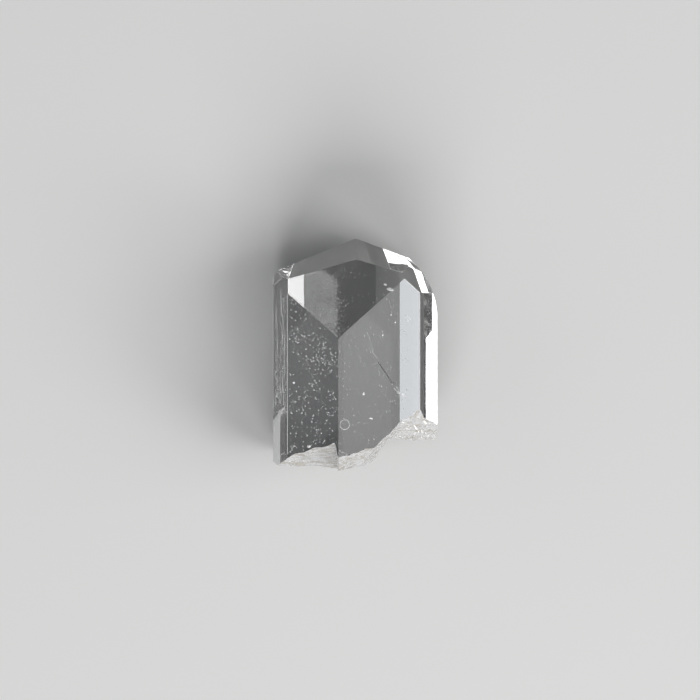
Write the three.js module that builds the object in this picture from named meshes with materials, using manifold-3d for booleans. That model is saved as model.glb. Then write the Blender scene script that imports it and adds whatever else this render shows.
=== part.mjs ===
// A phenakite crystal that broke off its matrix: one colourless prism lying on a long face,
// with a pointed end of growth faces and a broken, conchoidal root end.
import * as THREE from 'three';
import { mergeVertices } from 'three/addons/utils/BufferGeometryUtils.js';
import Module from 'manifold-3d';

// ---------------------------------------------------------------- driving dimensions, mm and degrees

// The pole is the line through the point of the crystal, along its length (Y).
// Distances of faces are measured from the point, square to the face.
// A turn is the face's direction round the pole: 0 is straight up, 90 is to the right.
const PRISM_FACES = {
  upperLeft: { turn: -30, distance: 5.115 },
  upperRight: { turn: 30, distance: 4.2 },
  leftShoulder: { turn: -60, distance: 4.93 },
  rightShoulder: { turn: 60, distance: 4.25 },
  leftSide: { turn: -90, distance: 4.125 },
  rightSide: { turn: 90, distance: 4.05 },
  lowerRight: { turn: 150, distance: 1.985 },
  lowerLeft: { turn: -150, distance: 2.77 },
  resting: { turn: 180, distance: 1.7 },
};

// A lean is the angle between the face's normal and the pole, so 0 would be flat across the end.
const STEEP_LEAN = 57.3;         // the large end faces
const POINT_LEAN = 23.5;         // the six blunt faces of the point
const END_FACES = {
  broadTop: { turn: 0, lean: STEEP_LEAN, distance: 1.825 },
  rightBlade: { turn: 60, lean: STEEP_LEAN, distance: 2.1 },
  leftDiamond: { turn: -60, lean: STEEP_LEAN, distance: 2.905 },
  leftWedge: { turn: -50, lean: 67.6, distance: 3.69 },
  rightCorner: { turn: 70, lean: 38, distance: 0.88 },
  pointUpperLeft: { turn: -30, lean: POINT_LEAN, distance: 0 },
  pointUpperRight: { turn: 30, lean: POINT_LEAN, distance: 0 },
  pointLowerRight: { turn: 150, lean: POINT_LEAN, distance: 0 },
  pointLowerLeft: { turn: -150, lean: POINT_LEAN, distance: 0 },
  pointRight: { turn: 90, lean: 20.5, distance: 0 },
  pointLeft: { turn: -90, lean: 22.4, distance: 0 },
};

// Where the end meets a side it is rounded by narrow flats that touch one circle.
const RIGHT_ROUNDING = {
  turn: 90, radius: 4.1, centreOut: -0.04, centreY: -4.1, firstLean: 36, leanStep: 9, flats: 6,
};
const LEFT_ROUNDING = {
  turn: -90, radius: 0.52, centreOut: 3.6, centreY: -2.05, firstLean: 38, leanStep: 18, flats: 3,
};

// The broken end, as depths below the point. A depth holds at one place across the pole, and the
// surface climbs from there by so much per mm to the right and upwards.
const MAIN_LOBE = { depth: 11.34, levelAbove: 3.05 };
const SPUR = { depth: 11.55, atX: -0.87, leftward: 0.17, rightward: 0.24 };
const RIGHT_LOBE = { atX: 1.725, atZ: 0, depth: 10.0, rightward: -0.08, upward: 0 };
const RIGHT_LOBE_LEVEL = { levelAbove: 0.3 };
const RISE_BELOW = 0.12;         // below its level part a lobe's end climbs this much per mm
const RIDGE = { x: -0.915, z: 5.378 };        // the long upper edge, seen along the pole
const UPPER_LEFT_SCOOP = {
  atX: RIDGE.x, atZ: RIDGE.z, depth: 10.175, rightward: 0.03, upward: 0.464,
};
const SCOOP_WALL = { atX: RIDGE.x, atZ: RIDGE.z, depth: 10.975, rightward: -5, upward: 0 };
const UPPER_RIGHT_FLAT = {
  atX: RIDGE.x, atZ: RIDGE.z, depth: 10.955, rightward: 0.72, upward: 0.721,
};
const STEP_TOP = { atX: 0.867, atZ: 4.349, depth: 10.465, rightward: 1.1, upward: 0.2 };
const STEP_WALL = { atX: 1.085, atZ: 0, depth: 10.765, rightward: 2.4, upward: 0 };
const STEP_FOOT = { atX: 1.24, atZ: 0, depth: 10.415, rightward: 0.83, upward: 0 };
const RIGHT_LOBE_FLAT = { atX: 3.465, atZ: 2.5, depth: 9.03, rightward: 0.558, upward: 0.567 };
const RIGHT_LOBE_LEDGE = { atX: 2.445, atZ: 3.304, depth: 9.145, rightward: 0.12, upward: 0.33 };
const SHOULDER_CHIP = { atX: 3.162, atZ: 3.024, depth: 8.56, rightward: 1.93, upward: 2.22 };
const RIPPLE_STEP = 1.1;         // spacing of the conchoidal ripples
const RIPPLE_HEIGHT = 0.035;

const BLOCK_SIZE = 40;           // rough block that the faces are cleaved from
const BREAK_WIDTH = 10;
const BREAK_HEIGHT = 9.5;
const BREAK_CELL = 0.2;          // size of the small flats on the break
const BREAK_CENTRE_Z = 2;

const CRYSTAL_COLOUR = 0xe4e2dc;

// ---------------------------------------------------------------- solids and booleans

const wasm = await Module();
wasm.setup();

function toSolid(geometry) {
  const bare = geometry.clone();
  bare.deleteAttribute('normal');
  bare.deleteAttribute('uv');
  const merged = mergeVertices(bare, 1e-5);
  return new wasm.Manifold(new wasm.Mesh({
    numProp: 3,
    vertProperties: new Float32Array(merged.attributes.position.array),
    triVerts: new Uint32Array(merged.index.array),
  }));
}

function toGeometry(solid) {
  const mesh = solid.getMesh();
  const geometry = new THREE.BufferGeometry();
  geometry.setAttribute('position', new THREE.BufferAttribute(mesh.vertProperties, 3));
  geometry.setIndex(new THREE.BufferAttribute(mesh.triVerts, 1));
  return geometry;
}

// ---------------------------------------------------------------- flat growth faces

function faceNormal(turn, lean) {
  const round = THREE.MathUtils.degToRad(turn);
  const down = THREE.MathUtils.degToRad(lean);
  return new THREE.Vector3(
    Math.sin(down) * Math.sin(round),
    Math.cos(down),
    Math.sin(down) * Math.cos(round),
  );
}

// A block whose one side lies in the face's plane, with all of the block beyond it.
function blockBeyondFace({ turn, lean = 90, distance }) {
  const normal = faceNormal(turn, lean);
  const block = new THREE.BoxGeometry(BLOCK_SIZE * 2, BLOCK_SIZE * 2, BLOCK_SIZE);
  block.translate(0, 0, BLOCK_SIZE / 2 + distance);
  const turnToFace = new THREE.Quaternion();
  turnToFace.setFromUnitVectors(new THREE.Vector3(0, 0, 1), normal);
  block.applyQuaternion(turnToFace);
  return toSolid(block);
}

function cleave(rough, faces) {
  let crystal = rough;
  for (const face of faces) {
    crystal = crystal.subtract(blockBeyondFace(face));
  }
  return crystal;
}

// The narrow flats of a rounded edge, each touching the circle round (centreOut, centreY).
function roundingFlats({ turn, radius, centreOut, centreY, firstLean, leanStep, flats }) {
  return Array.from({ length: flats }, (_, index) => {
    const lean = firstLean + index * leanStep;
    const down = THREE.MathUtils.degToRad(lean);
    const distance = radius + centreOut * Math.sin(down) + centreY * Math.cos(down);
    return { turn, lean, distance };
  });
}

// ---------------------------------------------------------------- the broken root end

// The height of a tilted flat of the break, at one place across the pole.
function flat(x, z, { atX, atZ, depth, rightward, upward }) {
  return -depth + rightward * (x - atX) + upward * (z - atZ);
}

// The blunt end of a lobe is level above, and climbs towards the resting face.
function riseBelow(z, { levelAbove }) {
  return RISE_BELOW * Math.max(0, levelAbove - z);
}

function breakHeight(x, z) {
  const spurSlope = x < SPUR.atX ? -SPUR.leftward : SPUR.rightward;
  const spur = -SPUR.depth + spurSlope * (x - SPUR.atX);
  const mainLobe = Math.min(-MAIN_LOBE.depth, spur) + riseBelow(z, MAIN_LOBE);

  const scoop = Math.min(flat(x, z, UPPER_LEFT_SCOOP), flat(x, z, SCOOP_WALL));
  const front = x < RIDGE.x ? scoop : flat(x, z, UPPER_RIGHT_FLAT);

  const stepFront = Math.min(flat(x, z, STEP_WALL), flat(x, z, STEP_FOOT));
  const step = Math.max(flat(x, z, STEP_TOP), stepFront);
  const lobeEnd = flat(x, z, RIGHT_LOBE) + riseBelow(z, RIGHT_LOBE_LEVEL);
  const lobeFlats = [RIGHT_LOBE_FLAT, RIGHT_LOBE_LEDGE, SHOULDER_CHIP].map(
    (facet) => flat(x, z, facet),
  );
  const rightLobe = Math.min(step, Math.max(lobeEnd, ...lobeFlats));

  const fromRidge = Math.hypot(x - RIDGE.x, z - RIDGE.z);
  const ripple = RIPPLE_HEIGHT * Math.sin((2 * Math.PI * fromRidge) / RIPPLE_STEP);
  return Math.max(mainLobe, front, rightLobe) + ripple;
}

// The missing rock beyond the break: a block whose upper side follows the broken surface.
function blockBeyondBreak() {
  const columns = Math.round(BREAK_WIDTH / BREAK_CELL);
  const rows = Math.round(BREAK_HEIGHT / BREAK_CELL);
  const block = new THREE.BoxGeometry(BREAK_WIDTH, 2, BREAK_HEIGHT, columns, 1, rows);
  block.translate(0, 0, BREAK_CENTRE_Z);
  const position = block.attributes.position;
  for (let i = 0; i < position.count; i += 1) {
    const x = position.getX(i);
    const z = position.getZ(i);
    position.setY(i, position.getY(i) > 0 ? breakHeight(x, z) : -BLOCK_SIZE / 2);
  }
  return toSolid(block);
}

// ---------------------------------------------------------------- the crystal

function makeCrystal() {
  const rough = toSolid(new THREE.BoxGeometry(BLOCK_SIZE / 2, BLOCK_SIZE / 1.5, BLOCK_SIZE / 2));
  const prism = cleave(rough, Object.values(PRISM_FACES));
  const pointed = cleave(prism, Object.values(END_FACES));
  const rightRounded = cleave(pointed, roundingFlats(RIGHT_ROUNDING));
  const rounded = cleave(rightRounded, roundingFlats(LEFT_ROUNDING));
  const geometry = toGeometry(rounded.subtract(blockBeyondBreak()));

  // The crystal's own frame: it lies on the resting face, centred over the middle of its box.
  geometry.computeBoundingBox();
  const box = geometry.boundingBox;
  geometry.translate(-(box.min.x + box.max.x) / 2, -(box.min.y + box.max.y) / 2, -box.min.z);

  const material = new THREE.MeshStandardMaterial({
    color: CRYSTAL_COLOUR,
    roughness: 0.1,
    metalness: 0,
  });
  const crystal = new THREE.Mesh(geometry, material);
  crystal.name = 'phenakite_crystal';
  return crystal;
}

const part = new THREE.Group();
part.add(makeCrystal());

export default part;
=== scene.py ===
import math
import random

import bmesh
import bpy
from mathutils import Matrix, Vector, noise


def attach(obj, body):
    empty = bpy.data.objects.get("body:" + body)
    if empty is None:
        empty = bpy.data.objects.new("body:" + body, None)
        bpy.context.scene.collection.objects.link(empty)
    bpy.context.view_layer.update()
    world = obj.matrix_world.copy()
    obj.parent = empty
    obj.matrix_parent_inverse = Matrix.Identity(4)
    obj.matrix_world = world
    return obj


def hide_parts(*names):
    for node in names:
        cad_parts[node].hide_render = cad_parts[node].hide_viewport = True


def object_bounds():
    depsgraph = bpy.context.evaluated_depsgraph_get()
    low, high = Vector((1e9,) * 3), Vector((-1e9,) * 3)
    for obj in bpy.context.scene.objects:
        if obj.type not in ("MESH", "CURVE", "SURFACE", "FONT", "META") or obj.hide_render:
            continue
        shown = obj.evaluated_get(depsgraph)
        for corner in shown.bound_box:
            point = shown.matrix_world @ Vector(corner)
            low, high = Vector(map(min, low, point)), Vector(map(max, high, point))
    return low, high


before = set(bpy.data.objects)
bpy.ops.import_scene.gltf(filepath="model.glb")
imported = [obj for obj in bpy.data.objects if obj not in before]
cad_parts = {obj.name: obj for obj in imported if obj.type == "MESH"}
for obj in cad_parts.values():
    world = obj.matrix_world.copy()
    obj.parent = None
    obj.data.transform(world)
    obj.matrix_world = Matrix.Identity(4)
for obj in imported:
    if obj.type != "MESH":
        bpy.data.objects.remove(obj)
cad_low, cad_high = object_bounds()

# ------------------------------------------------------------------ the crystal
# One colourless crystal of phenakite, worked in millimetres round its pole, the line through its
# point along +Y. Growth faces cleave it from a rough block whose lower end is the broken surface.
# A turn is a face's direction round the pole from straight up, and a lean is its angle to the pole.

MM = 0.001
STEEP_LEAN = 57.3
POINT_LEAN = 23.5
GROWTH_FACES = {
    "upper_left": (-30, 90, 5.115),
    "upper_right": (30, 90, 4.2),
    "left_shoulder": (-60, 90, 4.93),
    "right_shoulder": (60, 90, 4.25),
    "left_side": (-90, 90, 4.125),
    "right_side": (90, 90, 4.05),
    "lower_right": (150, 90, 1.985),
    "lower_left": (-150, 90, 2.77),
    "resting": (180, 90, 1.7),
    "broad_top": (0, STEEP_LEAN, 1.825),
    "right_blade": (60, STEEP_LEAN, 2.1),
    "left_diamond": (-60, STEEP_LEAN, 2.905),
    "left_wedge": (-50, 67.6, 3.69),
    "right_corner": (70, 38, 0.88),
    "point_upper_left": (-30, POINT_LEAN, 0),
    "point_upper_right": (30, POINT_LEAN, 0),
    "point_lower_right": (150, POINT_LEAN, 0),
    "point_lower_left": (-150, POINT_LEAN, 0),
    "point_right": (90, 20.5, 0),
    "point_left": (-90, 22.4, 0),
}
RIDGE_X, RIDGE_Z = -0.915, 5.378
BREAK_WIDTH, BREAK_HEIGHT, BREAK_CENTRE_Z = 10.0, 9.5, 2.0
BREAK_CELL = 0.05
RIB_HEIGHT = 0.11
ROUGH_END = 2.0
EDGE_BLUNT = 0.016
SLOTS = ["clear", "uneven", "striated", "grainy", "broken", "painted_highlight"]
FACE_SLOTS = {"left_shoulder": "striated", "left_diamond": "striated", "left_wedge": "striated",
              "left_side": "uneven", "resting": "grainy"}


def add_rounding(name, turn, radius, centre_out, centre_y, first_lean, lean_step, flats):
    """Narrow flats that round the end off against a side; each touches one circle."""
    for index in range(flats):
        lean = first_lean + index * lean_step
        out = centre_out * math.sin(math.radians(lean))
        along = centre_y * math.cos(math.radians(lean))
        GROWTH_FACES[f"{name}_{index}"] = (turn, lean, radius + out + along)


def face_normal(turn, lean):
    round_pole = math.radians(turn)
    down = math.radians(lean)
    return Vector((
        math.sin(down) * math.sin(round_pole),
        math.cos(down),
        math.sin(down) * math.cos(round_pole),
    ))


def flat(x, z, at_x, at_z, depth, rightward, upward):
    return -depth + rightward * (x - at_x) + upward * (z - at_z)


def break_height(x, z):
    """The broken surface: the highest of the main lobe, the front flats and the right lobe."""
    spur_slope = -0.17 if x < -0.87 else 0.24
    spur = -11.55 + spur_slope * (x + 0.87)
    main_lobe = min(-11.34, spur) + 0.12 * max(0, 3.05 - z)
    scoop = min(
        flat(x, z, RIDGE_X, RIDGE_Z, 10.175, 0.03, 0.464),
        flat(x, z, RIDGE_X, RIDGE_Z, 10.975, -5, 0),
    )
    front = scoop if x < RIDGE_X else flat(x, z, RIDGE_X, RIDGE_Z, 10.955, 0.72, 0.721)
    step_front = min(
        flat(x, z, 1.085, 0, 10.765, 2.4, 0),
        flat(x, z, 1.24, 0, 10.415, 0.83, 0),
    )
    step = max(flat(x, z, 0.867, 4.349, 10.465, 1.1, 0.2), step_front)
    lobe_end = flat(x, z, 1.725, 0, 10.0, -0.08, 0) + 0.12 * max(0, 0.3 - z)
    lobe_flats = max(
        flat(x, z, 3.465, 2.5, 9.03, 0.558, 0.567),
        flat(x, z, 2.445, 3.304, 9.145, 0.12, 0.33),
        flat(x, z, 3.162, 3.024, 8.56, 1.93, 2.22),
    )
    right_lobe = min(step, max(lobe_end, lobe_flats))
    from_ridge = math.hypot(x - RIDGE_X, z - RIDGE_Z)
    ripple = 0.035 * math.sin(2 * math.pi * from_ridge / 1.1)
    return max(main_lobe, front, right_lobe) + ripple


def ribs(x, z):
    """Fine conchoidal ribs from 0 to about 1, as arcs round the place where the crack began."""
    from_start = math.hypot(x + 0.1, z - 1.2)
    round_start = math.atan2(z - 1.2, x + 0.1)
    broad = abs(noise.noise((from_start * 5.5, round_start * 1.6, 3.0)))
    fine = abs(noise.noise((from_start * 13, round_start * 4, 9.0)))
    return broad + 0.4 * fine


add_rounding("right_rounding", 90, 4.1, -0.04, -4.1, 36, 9, 6)
add_rounding("left_rounding", -90, 0.52, 3.6, -2.05, 38, 18, 3)

crystal = bmesh.new()
columns = round(BREAK_WIDTH / BREAK_CELL)
rows = round(BREAK_HEIGHT / BREAK_CELL)
bmesh.ops.create_grid(crystal, x_segments=columns, y_segments=rows, size=0.5)
bmesh.ops.scale(crystal, vec=(BREAK_WIDTH, BREAK_HEIGHT, 1), verts=crystal.verts)
bmesh.ops.rotate(crystal, matrix=Matrix.Rotation(math.radians(90), 3, "X"), verts=crystal.verts)
bmesh.ops.translate(crystal, vec=(0, 0, BREAK_CENTRE_Z), verts=crystal.verts)
for vert in crystal.verts:
    grit = 0.02 * noise.noise((vert.co.x * 5, vert.co.z * 5, 7.0))
    relief = RIB_HEIGHT * ribs(vert.co.x, vert.co.z) + grit
    vert.co.y = break_height(vert.co.x, vert.co.z) + relief
for face in crystal.faces:
    face.material_index = SLOTS.index("broken")
    face.smooth = True
lifted = bmesh.ops.extrude_face_region(crystal, geom=crystal.faces[:])["geom"]
for vert in [part for part in lifted if isinstance(part, bmesh.types.BMVert)]:
    vert.co.y = ROUGH_END
for name, (turn, lean, distance) in GROWTH_FACES.items():
    normal = face_normal(turn, lean)
    bmesh.ops.bisect_plane(
        crystal,
        geom=crystal.verts[:] + crystal.edges[:] + crystal.faces[:],
        dist=1e-5,
        plane_co=normal * distance,
        plane_no=normal,
        clear_outer=True,
    )
    open_edges = [edge for edge in crystal.edges if edge.is_boundary]
    for face in bmesh.ops.edgeloop_fill(crystal, edges=open_edges)["faces"]:
        face.material_index = SLOTS.index(FACE_SLOTS.get(name, "clear"))
bmesh.ops.recalc_face_normals(crystal, faces=crystal.faces[:])

# Low on the left shoulder a slanting ledge leaves two narrow flats that fall away from the face.
LEDGE_FLATS = ((-75, 4.478), (-66, 4.752))
LEDGE_PLACE = Vector((-4.1, -8.775, 2.76))
LEDGE_NORMAL = Vector((0.186, -0.928, 0.323))


def block_beyond(turn, distance):
    """A block outside an upright face and below the ledge."""
    block = bmesh.new()
    bmesh.ops.create_cube(block, size=6, matrix=Matrix.Translation((-4, -11, 3)))
    cuts = ((face_normal(turn, 90) * distance, face_normal(turn, 90)), (LEDGE_PLACE, LEDGE_NORMAL))
    for place, direction in cuts:
        bmesh.ops.bisect_plane(
            block, geom=block.verts[:] + block.edges[:] + block.faces[:], dist=1e-5,
            plane_co=place, plane_no=direction, clear_inner=True,
        )
        open_edges = [edge for edge in block.edges if edge.is_boundary]
        bmesh.ops.edgeloop_fill(block, edges=open_edges)
    bmesh.ops.recalc_face_normals(block, faces=block.faces[:])
    return block


def to_object(name, shape):
    mesh = bpy.data.meshes.new(name)
    shape.to_mesh(mesh)
    shape.free()
    piece = bpy.data.objects.new(name, mesh)
    bpy.context.scene.collection.objects.link(piece)
    return piece


whole = to_object("whole", crystal)
blocks = [to_object("block", block_beyond(*ledge_flat)) for ledge_flat in LEDGE_FLATS]
for block in blocks:
    cut = whole.modifiers.new("ledge", "BOOLEAN")
    cut.operation = "DIFFERENCE"
    cut.solver = "EXACT"
    cut.object = block
bpy.context.view_layer.update()
crystal = bmesh.new()
crystal.from_object(whole, bpy.context.evaluated_depsgraph_get())
for piece in [whole] + blocks:
    bpy.data.objects.remove(piece)

# Every growth edge of a natural crystal is a hair blunt, which is what makes it glint.
growth_edges = [
    edge for edge in crystal.edges
    if len(edge.link_faces) == 2
    and all(face.material_index != SLOTS.index("broken") for face in edge.link_faces)
    and edge.calc_face_angle() > math.radians(5)
]
bmesh.ops.bevel(
    crystal, geom=growth_edges, offset=EDGE_BLUNT, offset_type="OFFSET", segments=2,
    profile=0.5, affect="EDGES", material=-1, clamp_overlap=True,
)

# The outer of the two flats under the ledge lets little light through and shows almost opaque
# white, a painted highlight for the bright strip there.
outer_flat = face_normal(LEDGE_FLATS[0][0], 90)
for face in crystal.faces:
    if face.material_index == 0 and face.normal.dot(outer_flat) > 0.9999:
        face.material_index = SLOTS.index("painted_highlight")

lows = Vector([min(vert.co[axis] for vert in crystal.verts) for axis in range(3)]) * MM
highs = Vector([max(vert.co[axis] for vert in crystal.verts) for axis in range(3)]) * MM
to_place = Vector((cad_low[0] - lows.x, cad_high[1] - highs.y, cad_low[2] - lows.z))


def settle(name, shape):
    """Turns a shape in pole millimetres into a piece in the part's own place, in metres."""
    bmesh.ops.scale(shape, vec=(MM, MM, MM), verts=shape.verts)
    bmesh.ops.translate(shape, vec=to_place, verts=shape.verts)
    return to_object(name, shape)


crystal_piece = settle("crystal", crystal)


WATER_CLEAR = (0.985, 0.985, 0.98, 1)
IRON_STAIN = (0.72, 0.67, 0.60, 1)


def phenakite(
    name, smoothest, roughest, transmission, grain, relief, colour=WATER_CLEAR, stain=None,
):
    """Glassy phenakite: the grain is the size of its relief along X, Y and Z, in mm."""
    material = bpy.data.materials.new(name)
    material.use_nodes = True
    nodes = material.node_tree.nodes
    links = material.node_tree.links
    shader = nodes["Principled BSDF"]
    shader.inputs["Base Color"].default_value = colour
    shader.inputs["Metallic"].default_value = 0.0
    shader.inputs["Transmission Weight"].default_value = transmission
    shader.inputs["IOR"].default_value = 1.66
    place = nodes.new("ShaderNodeTexCoord")
    stretch = nodes.new("ShaderNodeMapping")
    stretch.inputs["Scale"].default_value = [1 / (size * MM) for size in grain]
    pattern = nodes.new("ShaderNodeTexNoise")
    pattern.inputs["Scale"].default_value = 1.0
    pattern.inputs["Detail"].default_value = 1.0
    pattern.inputs["Distortion"].default_value = 0.6
    gloss = nodes.new("ShaderNodeMapRange")
    gloss.inputs["From Min"].default_value = 0.35
    gloss.inputs["From Max"].default_value = 0.75
    gloss.inputs["To Min"].default_value = smoothest
    gloss.inputs["To Max"].default_value = roughest
    bump = nodes.new("ShaderNodeBump")
    bump.inputs["Distance"].default_value = relief * MM
    links.new(place.outputs["Object"], stretch.inputs["Vector"])
    links.new(stretch.outputs["Vector"], pattern.inputs["Vector"])
    links.new(pattern.outputs["Fac"], gloss.inputs["Value"])
    links.new(gloss.outputs["Result"], shader.inputs["Roughness"])
    links.new(pattern.outputs["Fac"], bump.inputs["Height"])
    links.new(bump.outputs["Normal"], shader.inputs["Normal"])
    if stain:
        streaks = nodes.new("ShaderNodeValToRGB")
        streaks.color_ramp.elements[0].position = 0.36
        streaks.color_ramp.elements[0].color = stain
        streaks.color_ramp.elements[1].position = 0.52
        streaks.color_ramp.elements[1].color = colour
        links.new(pattern.outputs["Fac"], streaks.inputs["Fac"])
        links.new(streaks.outputs["Color"], shader.inputs["Base Color"])
    return material


materials = {
    "clear": phenakite("clear_phenakite", 0.01, 0.04, 1.0, (0.6, 1.2, 0.6), 0.0),
    "uneven": phenakite("uneven_phenakite", 0.02, 0.06, 1.0, (0.5, 1.3, 0.5), 0.0012),
    "striated": phenakite("striated_phenakite", 0.01, 0.05, 1.0, (0.09, 1.2, 0.09), 0.007),
    "grainy": phenakite("grainy_phenakite", 0.03, 0.08, 1.0, (0.12, 0.12, 0.12), 0.0015),
    "broken": phenakite(
        "broken_phenakite", 0.1, 0.45, 0.5, (0.9, 0.14, 0.2), 0.01, WATER_CLEAR, IRON_STAIN,
    ),
    # This almost opaque white material paints the highlight on the outer flat under the ledge.
    "painted_highlight": phenakite("painted_highlight_phenakite", 0.15, 0.3, 0.12, (0.2, 1.2, 0.2), 0.002),
}
for slot in SLOTS:
    crystal_piece.data.materials.append(materials[slot])
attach(crystal_piece, "root")
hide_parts("phenakite_crystal")

# ------------------------------------------------------------------ etch hillocks
# Low frosted domes that natural etching left on the growth faces, thickest on the upper left face
# and on the left shoulder. They are drawn out along the pole and lie half sunk in their face.

HILLOCKS = (
    # face, how many at most, smallest and largest radius, from x, to x
    ("upper_left", 480, 0.016, 0.044, -4.2, 0.0),
    ("left_shoulder", 120, 0.016, 0.036, -4.2, -3.0),
    ("broad_top", 110, 0.015, 0.032, -4.2, 4.2),
    ("broad_top", 260, 0.013, 0.024, -2.4, -0.5),
    ("upper_right", 220, 0.015, 0.032, -1.0, 2.6),
    ("right_shoulder", 60, 0.013, 0.026, 2.4, 4.1),
    ("point_upper_left", 20, 0.014, 0.026, -4.2, 0.5),
)
FACE_MARGIN = 0.06


def height_on(name, x, y):
    """How high a growth face stands over a place that is given across and along the pole."""
    turn, lean, distance = GROWTH_FACES[name]
    normal = face_normal(turn, lean)
    return (distance - normal.x * x - normal.y * y) / normal.z


def is_within(name, point):
    """True where a point of a face's plane is on the crystal, clear of its edges and the ledge."""
    if point.y < break_height(point.x, point.z) + 3 * FACE_MARGIN:
        return False
    is_past_ledge = (point - LEDGE_PLACE).dot(LEDGE_NORMAL) > -FACE_MARGIN
    if is_past_ledge and any(
        face_normal(turn, 90).dot(point) > distance - FACE_MARGIN for turn, distance in LEDGE_FLATS
    ):
        return False
    others = [face for key, face in GROWTH_FACES.items() if key != name]
    return all(
        face_normal(turn, lean).dot(point) < distance - FACE_MARGIN
        for turn, lean, distance in others
    )


chance = random.Random(11)
hillocks = bmesh.new()
for name, count, smallest, largest, x_low, x_high in HILLOCKS:
    turn, lean, distance = GROWTH_FACES[name]
    tilt = Vector((0, 0, 1)).rotation_difference(face_normal(turn, lean)).to_matrix().to_4x4()
    tries = [
        (chance.uniform(x_low, x_high), chance.uniform(-11.5, 0)) for _ in range(count * 12)
    ]
    points = [Vector((x, y, height_on(name, x, y))) for x, y in tries]
    points = [
        point for point in points if is_within(name, point)
        and chance.random() < 0.55 + 1.2 * noise.noise((point.x * 0.9, point.y * 0.9, 5.0))
    ]
    for point in points[:count]:
        size = smallest + (largest - smallest) * chance.random() ** 1.5
        stretched = Matrix.Diagonal((size, size * chance.uniform(1, 1.6), size * 0.6, 1))
        bmesh.ops.create_icosphere(
            hillocks, subdivisions=1, radius=1,
            matrix=Matrix.Translation(point) @ tilt @ stretched,
        )
for face in hillocks.faces:
    face.smooth = True
hillock_piece = settle("etch_hillocks", hillocks)
materials["etched"] = phenakite("etched_phenakite", 0.3, 0.5, 0.32, (0.1, 0.1, 0.1), 0.002)
hillock_piece.data.materials.append(materials["etched"])
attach(hillock_piece, "root")

# ------------------------------------------------------------------ painted edge glints and scratches
# Thin bright lines along some edges and along the striations of the left shoulder are painted
# highlights, and fine scratches, one growth ring and a little crackle show on the faces. Each is a
# chain of slim white rods, half sunk in the crystal, along its course.

EDGE_GLINT_RADIUS = 0.014
THIN_LINE_RADIUS = 0.011
FINE_SCRATCH = 0.007
STRIATIONS_END = -8.35
SCRATCH_COURSE = (
    (0.51, -4.7), (0.61, -4.93), (0.69, -5.18), (0.75, -5.45),
    (0.81, -5.7), (0.93, -5.85), (1.06, -6.0),
)
lines = bmesh.new()


def rods(shape, points, radius):
    for start, end in zip(points, points[1:]):
        course = end - start
        aim = Vector((0, 0, 1)).rotation_difference(course).to_matrix().to_4x4()
        bmesh.ops.create_cone(
            shape, cap_ends=True, segments=6, radius1=radius, radius2=radius,
            depth=course.length, matrix=Matrix.Translation((start + end) / 2) @ aim,
        )


def on_face(name, places):
    return [Vector((x, y, height_on(name, x, y))) for x, y in places]


def shared_edge(first, second, y_high, y_low, steps):
    """Points along the edge where two growth faces meet, from y_high down to y_low."""
    points = []
    for step in range(steps + 1):
        y = y_high + (y_low - y_high) * step / steps
        one, two = (GROWTH_FACES[name] for name in (first, second))
        n1, n2 = face_normal(one[0], one[1]), face_normal(two[0], two[1])
        d1, d2 = one[2] - n1.y * y, two[2] - n2.y * y
        across = n1.x * n2.z - n1.z * n2.x
        x = (d1 * n2.z - d2 * n1.z) / across
        z = (n1.x * d2 - n2.x * d1) / across
        points.append(Vector((x, y, z)))
    return points


# The rods along the edges between growth faces are painted glints.
rods(lines, shared_edge("upper_right", "right_shoulder", -2.85, -8.45, 8), EDGE_GLINT_RADIUS)
rods(lines, shared_edge("upper_left", "left_shoulder", -2.8, -10.75, 8), THIN_LINE_RADIUS)
rods(lines, shared_edge("left_shoulder", "left_side", -2.45, -8.7, 8), EDGE_GLINT_RADIUS)
rods(lines, shared_edge("upper_right", "right_blade", -2.05, -2.75, 1), EDGE_GLINT_RADIUS)
rods(lines, shared_edge("left_diamond", "left_wedge", -2.1, -2.3, 1), EDGE_GLINT_RADIUS)
rods(lines, on_face("upper_right", SCRATCH_COURSE), FINE_SCRATCH)
rods(lines, on_face("upper_right", [(2.4, -3.95), (2.53, -4.02), (2.6, -4.2)]), THIN_LINE_RADIUS)
rods(lines, on_face("upper_right", [(2.5, -3.87), (2.62, -3.95), (2.7, -4.1)]), THIN_LINE_RADIUS)
rods(lines, on_face("upper_right", [(1.86, -7.45), (1.98, -7.6), (2.16, -7.75)]), THIN_LINE_RADIUS)
rods(lines, on_face("upper_right", [(1.98, -7.4), (2.08, -7.5), (2.12, -7.9)]), THIN_LINE_RADIUS)
# These two rods paint glints on the broad top face.
rods(lines, on_face("broad_top", [(-3.4, -2.05), (-2.76, -1.88), (-2.6, -1.83)]), EDGE_GLINT_RADIUS)
rods(lines, on_face("broad_top", [(-2.5, -1.86), (-1.98, -1.71)]), EDGE_GLINT_RADIUS)
ring = [
    (-0.6 + 0.24 * math.cos(math.radians(turn)), -9.27 + 0.24 * math.sin(math.radians(turn)))
    for turn in range(0, 361, 24)
]
rods(lines, on_face("upper_right", ring), THIN_LINE_RADIUS)
# These rods paint highlights along the striations of the left shoulder.
for start_y in [-2.6 - 0.2 * step for step in range(28)]:
    x = chance.uniform(-4.0, -3.55)
    course = [
        (x + 0.05 * noise.noise((x * 9, start_y - 0.1 * step, 2.0)), start_y - 0.1 * step)
        for step in range(chance.randint(5, 14))
        if start_y - 0.1 * step > STRIATIONS_END
    ]
    rods(lines, on_face("left_shoulder", course), THIN_LINE_RADIUS)
for start_y in [-6.5 - 0.11 * step for step in range(16)]:
    x = chance.uniform(-4.0, -3.75)
    course = [(x, start_y)]
    for step in range(chance.randint(3, 6)):
        x = min(-3.6, max(-4.02, x + chance.uniform(-0.1, 0.1)))
        course.append((x, start_y - 0.06 * (step + 1)))
    rods(lines, on_face("left_shoulder", course), THIN_LINE_RADIUS)
line_piece = settle("edge_glints_and_scratches", lines)
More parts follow.
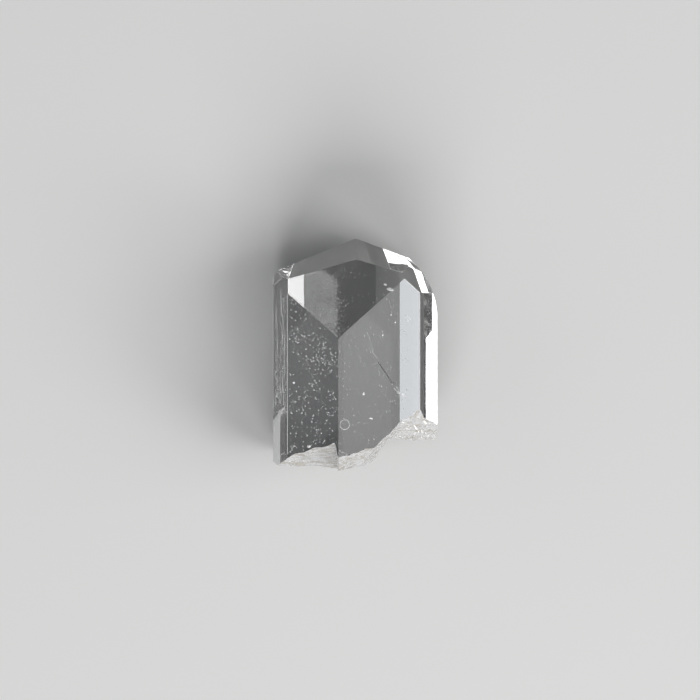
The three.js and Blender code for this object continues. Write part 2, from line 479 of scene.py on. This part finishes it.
# This white material lets no light through: on the edges and striations it paints glints, and on
# the scratches and chips it is crushed crystal.
materials["crushed"] = phenakite("crushed_phenakite", 0.5, 0.8, 0.0, (0.05, 0.05, 0.05), 0.004)
line_piece.data.materials.append(materials["crushed"])
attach(line_piece, "root")

# ------------------------------------------------------------------ the needle crack
# A straight open crack runs down the upper right face and forks at its lower end. It shows dark,
# because light that enters it does not come out again, so it is made of slim rods painted dark grey
# as shade.

NEEDLE_RADIUS = 0.024
needle = bmesh.new()
rods(needle, on_face("upper_right", [(1.08, -6.17), (1.45, -6.72)]), NEEDLE_RADIUS)
rods(needle, on_face("upper_right", [(1.45, -6.72), (1.8, -7.32)]), THIN_LINE_RADIUS)
rods(needle, on_face("upper_right", [(1.47, -6.72), (1.88, -7.28)]), THIN_LINE_RADIUS)
needle_piece = settle("needle_crack", needle)
# The crack's dark grey is painted shade.
CRACK_PAINTED_SHADE = (0.06, 0.06, 0.06, 1)
materials["crack"] = phenakite("crack_painted_shade", 0.2, 0.4, 0.0, (0.1, 0.1, 0.1), 0.002, CRACK_PAINTED_SHADE)
needle_piece.data.materials.append(materials["crack"])
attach(needle_piece, "root")

# ------------------------------------------------------------------ chips
# Small white bruises where the crystal was knocked. Each is a crushed lump, a ball with its
# surface pushed about, squeezed flat and half sunk in its face.

CHIPS = (
    # face, place across and along the pole, half length, half width, swing in the face
    ("broad_top", 1.68, -2.57, 0.20, 0.10, -20),
    ("broad_top", 1.42, -2.33, 0.09, 0.065, -35),
    ("upper_right", 0.72, -8.97, 0.12, 0.04, -10),
    ("upper_right", 0.34, -7.75, 0.06, 0.075, 0),
    ("upper_right", 1.7, -3.84, 0.05, 0.04, 0),
    ("upper_right", 1.92, -4.2, 0.05, 0.04, 20),
    ("upper_right", 1.3, -4.85, 0.045, 0.04, 0),
    ("upper_right", 2.32, -7.8, 0.09, 0.035, -50),
    ("upper_left", -3.1, -7.2, 0.07, 0.055, 0),
    ("upper_left", -2.35, -10.35, 0.11, 0.07, 20),
)
chips = bmesh.new()
for name, x, y, half_length, half_width, swing in CHIPS:
    turn, lean, distance = GROWTH_FACES[name]
    tilt = Vector((0, 0, 1)).rotation_difference(face_normal(turn, lean)).to_matrix().to_4x4()
    squeezed = Matrix.Diagonal((half_length, half_width, half_width * 0.35, 1))
    bmesh.ops.create_icosphere(
        chips, subdivisions=3, radius=1,
        matrix=Matrix.Translation(on_face(name, [(x, y)])[0]) @ tilt
        @ Matrix.Rotation(math.radians(swing), 4, "Z") @ squeezed,
    )
noise.seed_set(11)
for vert in chips.verts:
    vert.co += noise.noise_vector(vert.co * 14) * 0.03
chip_piece = settle("chips", chips)
chip_piece.data.materials.append(materials["crushed"])
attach(chip_piece, "root")

# ------------------------------------------------------------------ the stage
# A plain pale floor, soft lights round the crystal and the camera above it. The lights are set
# where the faces send the view after it is refracted, which gives each zone its brightness.

floor_mesh = bpy.data.meshes.new("floor")
floor_shape = bmesh.new()
bmesh.ops.create_grid(floor_shape, x_segments=1, y_segments=1, size=2.0)
bmesh.ops.translate(floor_shape, vec=(0, 0, -0.00002), verts=floor_shape.verts)
floor_shape.to_mesh(floor_mesh)
floor_shape.free()
floor = bpy.data.objects.new("floor", floor_mesh)
bpy.context.scene.collection.objects.link(floor)
floor_material = bpy.data.materials.new("pale_floor")
floor_material.use_nodes = True
floor_shader = floor_material.node_tree.nodes["Principled BSDF"]
floor_shader.inputs["Base Color"].default_value = (0.76, 0.76, 0.75, 1)
floor_shader.inputs["Roughness"].default_value = 0.6
floor_mesh.materials.append(floor_material)

world = bpy.data.worlds.new("studio")
world.use_nodes = True
world_nodes = world.node_tree.nodes
world_links = world.node_tree.links
around = world_nodes["Background"]
around.inputs["Color"].default_value = (0.5, 0.51, 0.53, 1)
around.inputs["Strength"].default_value = 0.23
backdrop = world_nodes.new("ShaderNodeBackground")
backdrop.inputs["Color"].default_value = (0.5, 0.5, 0.5, 1)
backdrop.inputs["Strength"].default_value = 1.0
straight_look = world_nodes.new("ShaderNodeLightPath")
chosen = world_nodes.new("ShaderNodeMixShader")
world_links.new(straight_look.outputs["Is Camera Ray"], chosen.inputs[0])
world_links.new(around.outputs[0], chosen.inputs[1])
world_links.new(backdrop.outputs[0], chosen.inputs[2])
world_links.new(chosen.outputs[0], world_nodes["World Output"].inputs["Surface"])
bpy.context.scene.world = world


# Part of a light's strength that is kept where a matt surface sees it through the crystal.
CAUSTIC_SHARE = 0.1


def softbox(name, turn, rise, distance, size, radiance, colour=(1, 1, 1)):
    """Turn is from +Y towards +X, rise is above the floor, and the box faces the crystal."""
    away = Vector((
        math.cos(math.radians(rise)) * math.sin(math.radians(turn)),
        math.cos(math.radians(rise)) * math.cos(math.radians(turn)),
        math.sin(math.radians(rise)),
    ))
    light = bpy.data.lights.new(name, "AREA")
    light.shape = "RECTANGLE"
    light.size, light.size_y = size
    light.color = colour
    light.energy = radiance * math.pi * size[0] * size[1]
    light.use_nodes = True
    tree = light.node_tree
    path = tree.nodes.new("ShaderNodeLightPath")
    share = tree.nodes.new("ShaderNodeMapRange")
    share.inputs["From Min"].default_value = 0.0
    share.inputs["From Max"].default_value = 1.0
    share.inputs["To Min"].default_value = 1.0
    share.inputs["To Max"].default_value = CAUSTIC_SHARE
    tree.links.new(path.outputs["Diffuse Depth"], share.inputs["Value"])
    tree.links.new(share.outputs["Result"], tree.nodes["Emission"].inputs["Strength"])
    lamp = bpy.data.objects.new(name, light)
    lamp.location = away * distance
    lamp.rotation_euler = away.to_track_quat("Z", "Y").to_euler()
    bpy.context.scene.collection.objects.link(lamp)
    return lamp


softbox("key_low", 118, 27, 0.50, (0.20, 0.16), 6.0)
softbox("key_high", 119, 50, 0.50, (0.24, 0.24), 3.4)
softbox("right_fill", 90, 39, 0.50, (0.20, 0.36), 2.5)
softbox("overhead", -90, 86, 0.60, (0.40, 0.40), 0.5)
softbox("left_panel", -90, 31, 0.50, (0.60, 0.16), 0.45, (0.90, 0.95, 1.0))
softbox("low_left_panel", -90, 5, 0.50, (0.60, 0.12), 2.7)
softbox("front_softbox", 180, 32, 0.50, (0.40, 0.24), 6.0)
bpy.context.scene.view_settings.view_transform = "Standard"

# The view is square to the resting face but for half a degree, from the left.
VIEW_TILT = 0.5
CAMERA_DISTANCE = 0.5
FRAME_WIDTH = 0.035
FRAME_PIXELS = 700
POINT_ACROSS = 355.7            # where the crystal's point lies in the frame, in pixels
POINT_DOWN = 238.5
PIXEL = FRAME_WIDTH / FRAME_PIXELS
camera_data = bpy.data.cameras.new("camera")
camera_data.sensor_width = 36
camera_data.lens = 36 * CAMERA_DISTANCE / FRAME_WIDTH
camera_data.clip_start = 0.01
camera = bpy.data.objects.new("camera", camera_data)
bpy.context.scene.collection.objects.link(camera)
towards = Vector((-math.sin(math.radians(VIEW_TILT)), 0, math.cos(math.radians(VIEW_TILT))))
right = Vector((math.cos(math.radians(VIEW_TILT)), 0, math.sin(math.radians(VIEW_TILT))))
up = Vector((0, 1, 0))
point = to_place
aim = point - right * PIXEL * (POINT_ACROSS - FRAME_PIXELS / 2)
aim = aim - up * PIXEL * (FRAME_PIXELS / 2 - POINT_DOWN)
camera.matrix_world = Matrix((
    (right.x, up.x, towards.x, 0),
    (right.y, up.y, towards.y, 0),
    (right.z, up.z, towards.z, 0),
    (0, 0, 0, 1),
))
camera.location = aim + towards * CAMERA_DISTANCE
bpy.context.scene.camera = camera
